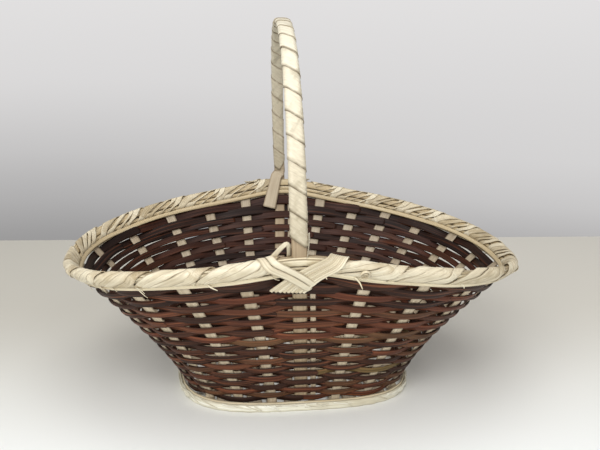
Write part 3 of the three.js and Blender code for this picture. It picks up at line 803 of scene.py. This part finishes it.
def knot(strips, k):
    """A small curl of the lashing's end on the outside of the rim."""
    angle = np.linspace(0, 2 * math.pi * KNOT_TURNS, KNOT_SAMPLES)
    radius = np.linspace(KNOT_RADIUS, KNOT_EYE, KNOT_SAMPLES)
    sideways, upward = radius * np.cos(angle), radius * np.sin(angle) + RIM_BAR["middle"]
    outward = RIM_BAR["half_width"] + KNOT_OUT
    u = np.full(KNOT_SAMPLES, stake_u(k))
    points, _ = near_wall(u, 1.0, sideways, upward, outward)
    axis, _ = near_wall(u, 1.0, 0.0, RIM_BAR["middle"], outward)
    strips.add(points, unit(points - axis), KNOT_WIDTH, KNOT_THICKNESS, 0.6)


def on_rim(s, p, height):
    """Points s metres along the rim and p turns round its bar, at a height over the bar."""
    corner, face = rim_section(p), rim_normal(p)
    point, _, up, out = wall_frame(s / RIM_LENGTH, np.ones_like(s))
    x = corner[..., 0] + face[..., 0] * height
    y = corner[..., 1] + face[..., 1] * height + RIM_BAR["middle"]
    return point + out * x[..., None] + up * y[..., None]


def lash_path(whole, share):
    """How far along the rim the lashing is, at each share of its whole turns."""
    jitter = rng.uniform(-LASH_JITTER, LASH_JITTER, STAKES + 2)[whole.astype(int)]
    outside = OUTSIDE_SHARE + OUTSIDE_SWING * np.cos(2 * math.pi * stake_u(whole))
    rising = np.interp(share * 2, FACE_SHARES, FACE_ADVANCE) * outside
    falling = np.interp(share * 2 - 1, FACE_SHARES, FACE_ADVANCE) * (1 - outside)
    stakes = whole - 0.5 + np.where(share < 0.5, rising, outside + falling)
    along = stake_u(stakes + jitter * np.sin(math.pi * share)) * RIM_LENGTH
    along = np.pad(along, LASH_SMOOTHING // 2, mode="edge")
    return np.convolve(along, np.ones(LASH_SMOOTHING) / LASH_SMOOTHING, "valid")


def rim_lashing(name, first, last, knot_stake=None):
    """The strip that winds round the rim once for each stake, with a fold at each crossing."""
    turn = np.arange(first - LASH_BEFORE, last + LASH_AFTER, 1 / TURN_STEPS) + 0.5
    whole = np.floor(turn)
    share = turn - whole
    along = lash_path(whole, share)
    fold = rng.uniform(FOLD_LOW, FOLD_HIGH, STAKES + 2)[whole.astype(int)]
    peak = (fold * np.exp(-(((share - FOLD_SHARE) / FOLD_LENGTH) ** 2)))[:, None]
    # Tints vary from turn to turn, and painted shade darkens the part of each turn inside the rim.
    tint = 0.45 + 0.4 * np.sin(whole * 2.1) ** 2 - 0.4 * smooth((share - 0.5) / 0.2)
    inside = smooth((share - 0.5) / 0.12) * (1 - smooth((share - 0.84) / 0.12))
    opened = 1 - LASH_OPENING * inside * np.sin(math.pi * stake_u(whole)) ** 4
    lap = turn / (2 * STAKES)
    q = np.linspace(-1, 1, ACROSS)[None, :]
    strips = Strips()
    for shift, width in LASH_STRANDS:
        wander = ripple(lap, 0.5 * MM, 20, 60)
        narrow = width * (1 + ripple(lap, 0.08, 20, 60))
        narrow = narrow * (opened if shift > LASH_STRANDS[0][0] else 1)
        shade = tint + rng.uniform(-0.14, 0.14) + ripple(lap, 0.06, 10, 40)
        lift = LASH_LIFT + (LASH_TILT + LASH_STEP * shift) * (1 + q)
        lift = lift + peak * (0.5 - 0.5 * shift / FOLD_SIDE) ** 3
        shift = shift + wander
        wound_strip(strips, along, share + whole, RIM_GIRTH, narrow, lift, on_rim, shade, shift)
    if knot_stake:
        knot(strips, knot_stake)
    strips.build(name, BOUND, "cream_bamboo", name)


# ---- Handle ----

ALONG_X = np.array([1.0, 0, 0])
OUTER_SAMPLES, INNER_SAMPLES = 420, 300
SPLINT_CROWN, INSIDE_RIM = 0.2 * MM, -4.25 * MM
LEG_START = 0.01
FRONT_END_DEPTH, FRONT_RISE, BACK_RISE = 13 * MM, 1 * MM, 3 * MM
TAIL_SIDEWAYS, TAIL_DEPTH, TAIL_SPREAD = 12 * MM, 31 * MM, 1.35


def arch(inset, samples=160):
    """Points along the handle from front to back."""
    angle = np.linspace(0, math.pi, samples)
    power = 2 / ARCH_EXPONENT
    across = np.sign(np.cos(angle)) * np.abs(np.cos(angle)) ** power
    y = -across * (ARCH_HALF_SPAN - inset)
    z = ARCH_SPRING_Z + np.abs(np.sin(angle)) ** power * (ARCH_CROWN_Z - ARCH_SPRING_Z - inset)
    rim_top = rim_height(0.0) + CREST_RISE
    rise = np.maximum(0, (z - rim_top) / (ARCH_CROWN_Z - rim_top))
    start = np.where(y < 0, LEG_FRONT["rim"], LEG_BACK["rim"])
    return np.stack([start + (CROWN_X - start) * rise, y, z], -1)


def splint_width(points):
    share = np.clip((points[:, 1] + ARCH_HALF_SPAN) / (2 * ARCH_HALF_SPAN), 0, 1)
    return SPLINT_FRONT_WIDTH + (SPLINT_BACK_WIDTH - SPLINT_FRONT_WIDTH) * share


def resample(points, samples):
    """The same path with even steps. Columns after the first three go along with the points."""
    steps = np.linalg.norm(np.diff(points[:, :3], axis=0), axis=1)
    length = np.concatenate([[0], np.cumsum(steps)])
    even = np.linspace(0, length[-1], samples)
    return np.stack([np.interp(even, length, column) for column in points.T], -1), length[-1]


def rounded(points, samples, passes=3):
    """A path through a few points with its corners rounded off."""
    points = np.array(points, float)
    for _ in range(passes):
        quarter = points[:-1] * 0.75 + points[1:] * 0.25
        three = points[:-1] * 0.25 + points[1:] * 0.75
        inner = np.stack([quarter, three], 1).reshape(-1, points.shape[1])
        points = np.concatenate([points[:1], inner, points[-1:]])
    return resample(points, samples)[0]


def splint_strip(strips, points, tint, spread=1.0):
    ahead = np.gradient(points, axis=0)
    outs = unit(-np.cross(ahead, ALONG_X))
    width = splint_width(points) * spread
    strips.add(points, outs, width, SPLINT_THICKNESS, tint, crown=SPLINT_CROWN)


def leg(k):
    """The outer splint's leg from the foot up to the rim."""
    v = LEG_START + (1 - LEG_START) * np.linspace(0, 1, WALL_SAMPLES) ** WALL_SPACING
    return near_wall(stake_u(k), v, sideways=leg_x(k, v) * (-1 if k else 1))[0]


def handle_splint_outer():
    strips = Strips()
    points = np.concatenate([leg(0), arch(0.0), leg(HALF_TURN)[::-1]])
    splint_strip(strips, resample(points, OUTER_SAMPLES)[0], 0.5)
    strips.build("handle_splint_outer", CORE, "tan_bamboo", "handle_splint_outer")


def rim_point(u, sideways, upward, outward):
    return near_wall(np.array([u]), 1.0, sideways, upward, outward)[0][0]


def handle_splint_inner():
    """The splint under the outer one. Its ends lie inside the rim and the back one is splayed."""
    front_end = rim_point(0.0, LEG_FRONT["rim"], -FRONT_END_DEPTH, INSIDE_RIM)
    front_rim = rim_point(0.0, LEG_FRONT["rim"], FRONT_RISE, INSIDE_RIM)
    back_rim = rim_point(0.5, -LEG_BACK["rim"] + TAIL_SIDEWAYS / 3, BACK_RISE, INSIDE_RIM)
    back_end = rim_point(0.5, -LEG_BACK["rim"] + TAIL_SIDEWAYS, -TAIL_DEPTH, INSIDE_RIM)
    under = arch(SPLINT_THICKNESS + SPLINT_GAP)
    strips = Strips()
    path = np.concatenate([[front_end, front_rim], under, [back_rim, back_end]])
    share = np.linspace(0, 1, INNER_SAMPLES)
    tint = remap_range(share, 0.85, 0.93, 0.2, 1.0)
    spread = remap_range(share, 0.88, 1.0, 1.0, TAIL_SPREAD)
    splint_strip(strips, resample(path, INNER_SAMPLES)[0], tint, spread)
    strips.build("handle_splint_inner", CORE, "tan_bamboo", "handle_splint_inner")


WRAP_TURNS, WRAP_SAMPLES = 24, 600
WRAP_START, WRAP_END, WRAP_PHASE = 7.3 * MM, 9.7 * MM, 0.15
WRAP_WIDTH, WRAP_DEPTH, WRAP_ROOM = 18.2 * MM, 2.2 * MM, 0.2 * MM
WRAP_LIFT, WRAP_TILT = 0.45 * MM, 0.3 * MM
WRAP_GAPS = {7: 3.0 * MM, 8: 2.2 * MM}
# The wrap's folded end beside the front leg: millimetres off the leg's middle, and in y and z.
FLAP = ((6.8, -141, 173), (7.0, -141, 165), (6.4, -140, 158), (5.6, -139, 148))
FLAP_WIDTH, FLAP_THICKNESS, FLAP_SAMPLES = 4 * MM, 0.6 * MM, 24

HANDLE_HALF_WIDTH = SPLINT_FRONT_WIDTH / 2 + WRAP_ROOM
handle_section, handle_normal, HANDLE_GIRTH = bar_section(HANDLE_HALF_WIDTH, WRAP_DEPTH, 3.5)
handle_middle, HANDLE_LENGTH = resample(arch((SPLINT_THICKNESS + SPLINT_GAP) / 2), WRAP_SAMPLES)
handle_places = np.linspace(0, HANDLE_LENGTH, WRAP_SAMPLES)
handle_out = unit(-np.cross(unit(np.gradient(handle_middle, axis=0)), ALONG_X))
handle_taper = splint_width(handle_middle) / SPLINT_FRONT_WIDTH


def on_handle(s, p, height):
    """Points s metres along the handle and p turns round its bar, at a height over the bar."""
    corner, face = handle_section(p), handle_normal(p)
    s = np.clip(s, 0, HANDLE_LENGTH)
    point = np.stack([np.interp(s, handle_places, column) for column in handle_middle.T], -1)
    out = np.stack([np.interp(s, handle_places, column) for column in handle_out.T], -1)
    x = corner[..., 0] * np.interp(s, handle_places, handle_taper) + face[..., 0] * height
    y = corner[..., 1] + face[..., 1] * height
    return point + ALONG_X * x[..., None] + out * y[..., None]


def wrap_starts():
    """How far along the handle each turn starts, with two turns that leave a gap."""
    pitches = rng.uniform(0.92, 1.08, WRAP_TURNS)
    pitches *= (HANDLE_LENGTH - WRAP_START - WRAP_END - sum(WRAP_GAPS.values())) / pitches.sum()
    for index, extra in WRAP_GAPS.items():
        pitches[index] += extra
    return np.concatenate([[0], np.cumsum(pitches)]) + WRAP_START


def handle_wrap():
    """A strip wound round both splints, each turn just over the edge of the one before."""
    turn = np.linspace(0, WRAP_TURNS, WRAP_TURNS * TURN_STEPS + 1)
    along = np.interp(turn, np.arange(WRAP_TURNS + 1), wrap_starts())
    lift = WRAP_LIFT + WRAP_TILT * np.linspace(-1, 1, ACROSS)[None, :]
    height = np.interp(along, handle_places, handle_middle[:, 2])
    tint = remap_range(height, ARCH_SPRING_Z, ARCH_CROWN_Z, 0.1, 0.95)
    strips = Strips()
    wound_strip(strips, along, turn + WRAP_PHASE, HANDLE_GIRTH, WRAP_WIDTH, lift, on_handle, tint)
    points = rounded(np.array(FLAP) * MM + ALONG_X * LEG_FRONT["rim"], FLAP_SAMPLES)
    outs = np.tile([1.0, -0.3, 0], (FLAP_SAMPLES, 1))
    strips.add(points, outs, FLAP_WIDTH, FLAP_THICKNESS, 0.7)
    strips.build("handle_wrap", WRAP, "cream_bamboo", "handle_wrap")


# ---- Ties ----

TIE_TURN, TIE_SAMPLES = 1 * MM, 90
TIE_THICKNESS, TIE_CROWN = 0.7 * MM, 0.15 * MM
# Reach, lift, tail and the stand-off are in millimetres. Each part has its shift across the
# tie, its width and the number of samples cut off its end.
TIE_OFF_RIM = 6.0
TIE_RIBS, RIB_PITCH, RIB_WIDTH = 9, 1.5 * MM, 1.62 * MM
WIDE_TIE = {
    "parts": [((i - TIE_RIBS // 2) * RIB_PITCH, RIB_WIDTH, 2 * i) for i in range(TIE_RIBS)],
    "reach": 29, "lift": 0.0, "tail": 20, "flare": 1.85,
}
NARROW_TIE = {
    "parts": [(-3.0 * MM, 5.6 * MM, 0), (3.0 * MM, 5.4 * MM, 3)],
    "reach": 24, "lift": 1.3, "tail": 6.5, "flare": 1.0,
}
# The slack loop's millimetres sideways, upward and outward from the leg where it meets the rim.
SLACK_LOOP = (
    (-23, -7, -3), (-18, 1, -2.5), (-13, 9, -2), (-9, 12, -2.5), (-7.8, 5, -3), (-7.8, -6, -4),
)
LOOP_SAMPLES, LOOP_THICKNESS = 40, 0.6 * MM
LOOP_START_WIDTH, LOOP_END_WIDTH = 4.4 * MM, 3 * MM


def tie_loop(strips, centre):
    """The slack loop of the narrow tie that stands up beside the front leg."""
    stops = [rim_point(0.0, centre + x * MM, z * MM, y * MM) for x, z, y in SLACK_LOOP]
    points = rounded(stops, LOOP_SAMPLES)
    outs = np.tile([0.25, -1.0, 0.25], (LOOP_SAMPLES, 1))
    width = np.linspace(LOOP_START_WIDTH, LOOP_END_WIDTH, LOOP_SAMPLES)
    strips.add(points, outs, width, LOOP_THICKNESS, 0.7)


def tie_path(reach, lift, tail):
    """Stops from inside the rim over its top and down outside: millimetres sideways, upward and
    outward, and how much the tie faces up and out there."""
    off = TIE_OFF_RIM
    return [
        (reach + 5, -14, -off, 0, -1),
        (reach + 4, -4, -off, 0, -1),
        (reach + 2, 1.4, 1.8 - off, 1, -0.8),
        (reach, 2.6, 0, 1, 0),
        (reach - 2.5, 1.0, off - 1.2 + lift, 1, 1),
        (reach - 6, -2.2, off + lift, 0.2, 1),
        (reach - 15, -9.5, off + lift, 0, 1),
        (reach - 24, -16.5, off + lift, 0, 1),
        (reach - 32, -22.5, off - 0.8 + lift, 0, 1),
        (reach - 32 - tail * 0.77, -22.5 - tail * 0.64, off - 2.2 + lift, 0, 1),
    ]


def tie(name, k, side, parts, reach, lift, tail, flare):
    """A strip over the rim and slantwise down the outside of the handle's foot. It ends flare
    times as wide. At the back it starts on the rim's top, for its inner end doesn't show."""
    path = tie_path(reach, lift, tail)
    centre = leg_x(k, 1.0) * (-1 if k else 1)
    stops = []
    for sideways, upward, outward, up_share, out_share in path[2:] if k else path:
        u = stake_u(k) + (centre + side * sideways * MM) / RIM_LENGTH
        point, _, up, out = wall_frame(np.array([u]), 1.0)
        place = point + up * upward * MM + out * outward * MM
        stops.append(np.concatenate([place[0], unit(up * up_share + out * out_share)[0] * TIE_TURN]))
    smoothed = rounded(stops, TIE_SAMPLES, 2)
    points, outs = smoothed[:, :3], unit(smoothed[:, 3:])
    across = unit(np.cross(outs, np.gradient(points, axis=0)))
    spread = remap_range(np.linspace(0, 1, TIE_SAMPLES), 0.35, 1, 1, flare)
    strips = Strips()
    for shift, width, drop in parts:
        tint = rng.uniform(0.3, 0.9)
        kept = slice(0, TIE_SAMPLES - drop)
        moved = (points + across * shift * spread[:, None])[kept]
        strips.add(moved, outs[kept], (width * spread)[kept], TIE_THICKNESS, tint, crown=TIE_CROWN)
    if side < 0 and k == 0:
        tie_loop(strips, centre)
    strips.build(name, BOUND, "cream_bamboo", name)


# ---- Stage, light and camera ----

FLOOR_BACK_Y = 0.45
# Painted light: the table's colour darkens from the front towards the back and the left.
FLOOR_FRONT, FLOOR_RIGHT = (0.97, 1, 1, 1), (0.68, 0.65, 0.58, 1)
FLOOR_LEFT = (0.55, 0.525, 0.46, 1)
ROOM_COLOUR = (0.34, 0.34, 0.345, 1)
# The room wall's tone at shares of its height, and how much of it green and blue have.
WALL_TONES = ((0.0, 0.37), (0.08, 0.42), (0.2, 0.52), (0.38, 0.62), (0.65, 0.7), (1.0, 0.76))
WALL_WARMTH = 0.985
# Each lamp's place, the point it shines at, its size and its power.
LIGHTS = {
    "key": ((-0.8, -1.35, 1.25), (0, 0, 0.05), 1.3, 27),
    "fill": ((0.8, -1.45, 1.2), (0, -0.1, 0), 1.2, 10),
    "overhead": ((0, 0, 1.9), (0, 0, 0), 1.4, 11),
}
CAMERA_PLACE = (-0.0574, -0.7532, 0.3439)
CAMERA_YAW, CAMERA_PITCH, CAMERA_ROLL = 0.085, 0.2618, 0.0166
SENSOR_WIDTH, LENS = 36, 51.6


def floor():
    """A pale table top whose far edge is behind the basket."""
    mesh = bpy.data.meshes.new("table_top")
    corners = [(-3, -3, 0), (3, -3, 0), (3, FLOOR_BACK_Y, 0), (-3, FLOOR_BACK_Y, 0)]
    mesh.from_pydata(corners, [], [(0, 1, 2, 3)])
    made = bpy.data.objects.new("table_top", mesh)
    show(made)
    material = bpy.data.materials.new("pale_table")
    material.use_nodes = True
    tree = material.node_tree
    shader = tree.nodes["Principled BSDF"]
    place = node(tree, "ShaderNodeTexCoord").outputs["Object"]
    parts = node(tree, "ShaderNodeSeparateXYZ", Vector=place)
    # Painted light: darker towards the back and the left, as the light falls off.
    share = remap(tree, parts.outputs[1], -0.4, 0.2, 0.0, 1.0)
    left = remap(tree, parts.outputs[0], 0.3, -0.6, 0.0, 1.0)
    back = mix_colour(tree, "MIX", left, FLOOR_RIGHT, FLOOR_LEFT)
    colour = mix_colour(tree, "MIX", share, FLOOR_FRONT, back)
    tree.links.new(colour, shader.inputs["Base Color"])
    shader.inputs["Roughness"].default_value = 0.5
    shader.inputs["Specular IOR Level"].default_value = 0.2
    mesh.materials.append(material)


def world():
    """A pale wall behind the basket that darkens towards the table, in a dimmer room."""
    made = bpy.data.worlds.new("studio")
    bpy.context.scene.world = made
    made.use_nodes = True
    tree = made.node_tree
    direction = node(tree, "ShaderNodeTexCoord").outputs["Generated"]
    parts = node(tree, "ShaderNodeSeparateXYZ", Vector=direction)
    height = node(tree, "ShaderNodeMapRange", None, i0=parts.outputs[2], i1=-0.28, i2=0.0).outputs[0]
    colour = ramp(tree, height, [
        (place, (tone, tone * WALL_WARMTH, tone * WALL_WARMTH, 1)) for place, tone in WALL_TONES
    ])
    side = remap(tree, parts.outputs[0], -0.3, 0.4, 0.82, 1.1)
    low = remap(tree, height, 0.15, 0.7, 0.0, 1.0)
    side = node(tree, "ShaderNodeMix", {"data_type": "FLOAT"}, i0=low, i2=side, i3=1.0).outputs[0]
    scale = {"operation": "SCALE"}
    shaded = node(tree, "ShaderNodeVectorMath", scale, i0=colour, Scale=side).outputs[0]
    above = remap(tree, parts.outputs[2], 0.03, 0.25, 0.0, 1.0)
    beside = remap(tree, parts.outputs[1], 0.75, 0.3, 0.0, 1.0)
    room = math_node(tree, "MAXIMUM", above, beside)
    colour = mix_colour(tree, "MIX", room, shaded, ROOM_COLOUR)
    tree.links.new(colour, tree.nodes["Background"].inputs["Color"])
    tree.nodes["Background"].inputs["Strength"].default_value = 1.0


def area_light(name, place, target, size, power):
    light = bpy.data.lights.new(name, "AREA")
    light.energy = power
    light.size = size
    made = bpy.data.objects.new(name, light)
    made.location = place
    made.rotation_euler = (Vector(target) - Vector(place)).to_track_quat("-Z", "Y").to_euler()
    show(made)


def camera():
    """The camera at the photographed angle."""
    made = bpy.data.objects.new("camera", bpy.data.cameras.new("camera"))
    made.data.sensor_width = SENSOR_WIDTH
    made.data.lens = LENS
    level = math.cos(CAMERA_PITCH)
    ahead, aside = math.cos(CAMERA_YAW) * level, math.sin(CAMERA_YAW) * level
    forward = Vector((aside, ahead, -math.sin(CAMERA_PITCH)))
    right = forward.cross(Vector((0, 0, 1))).normalized()
    up = right.cross(forward)
    rolled_right = math.cos(CAMERA_ROLL) * right + math.sin(CAMERA_ROLL) * up
    rolled_up = math.cos(CAMERA_ROLL) * up - math.sin(CAMERA_ROLL) * right
    basis = Matrix((rolled_right, rolled_up, -forward)).transposed()
    made.matrix_world = Matrix.Translation(CAMERA_PLACE) @ basis.to_4x4()
    show(made)
    bpy.context.scene.camera = made


# ---- The basket ----

camera()
floor()
world()
for name, lamp in LIGHTS.items():
    area_light(name, *lamp)

for row in range(len(WEAVERS)):
    weaver(row)
for i in range(-3, 4):
    through_stake(f"cross_stake_{i + 4}", i % STAKES, HALF_TURN - i, CROSS_Z)
for i in range(-1, 2):
    right_end = STAKES // 4 + i
    through_stake(f"long_stake_{i + 2}", right_end, STAKES - right_end, LONG_Z)
for i, k in enumerate(CORNER_STAKES):
    corner_stake(f"corner_stake_{i + 1}", k)
for i, gap in enumerate(SLAT_GAPS):
    base_slat(f"base_slat_{i + 1}", gap)
rim_hoop("rim_hoop_outer", 1, "rim_hoop_outer_upper", "rim_hoop_outer_lower")
rim_hoop("rim_hoop_inner", -1, "rim_hoop_inner_upper", "rim_hoop_inner_lower")
foot_hoop("foot_hoop_inner", CREAM, FOOT_INNER, 0.08 * MM)
foot_hoop("foot_hoop_outer", FIBROUS, FOOT_OUTER, 0.35 * MM, FOOT_FIBRES)
rim_lashing("rim_lashing_right", 1, HALF_TURN - 1, KNOT_STAKE)
rim_lashing("rim_lashing_left", HALF_TURN + 1, STAKES - 1)
handle_splint_outer()
handle_splint_inner()
handle_wrap()
for end, k in (("front", 0), ("back", HALF_TURN)):
    tie(f"handle_tie_{end}_wide", k, 1, **WIDE_TIE)
    tie(f"handle_tie_{end}_narrow", k, -1, **NARROW_TIE)

bpy.context.scene.view_settings.view_transform = "Standard"
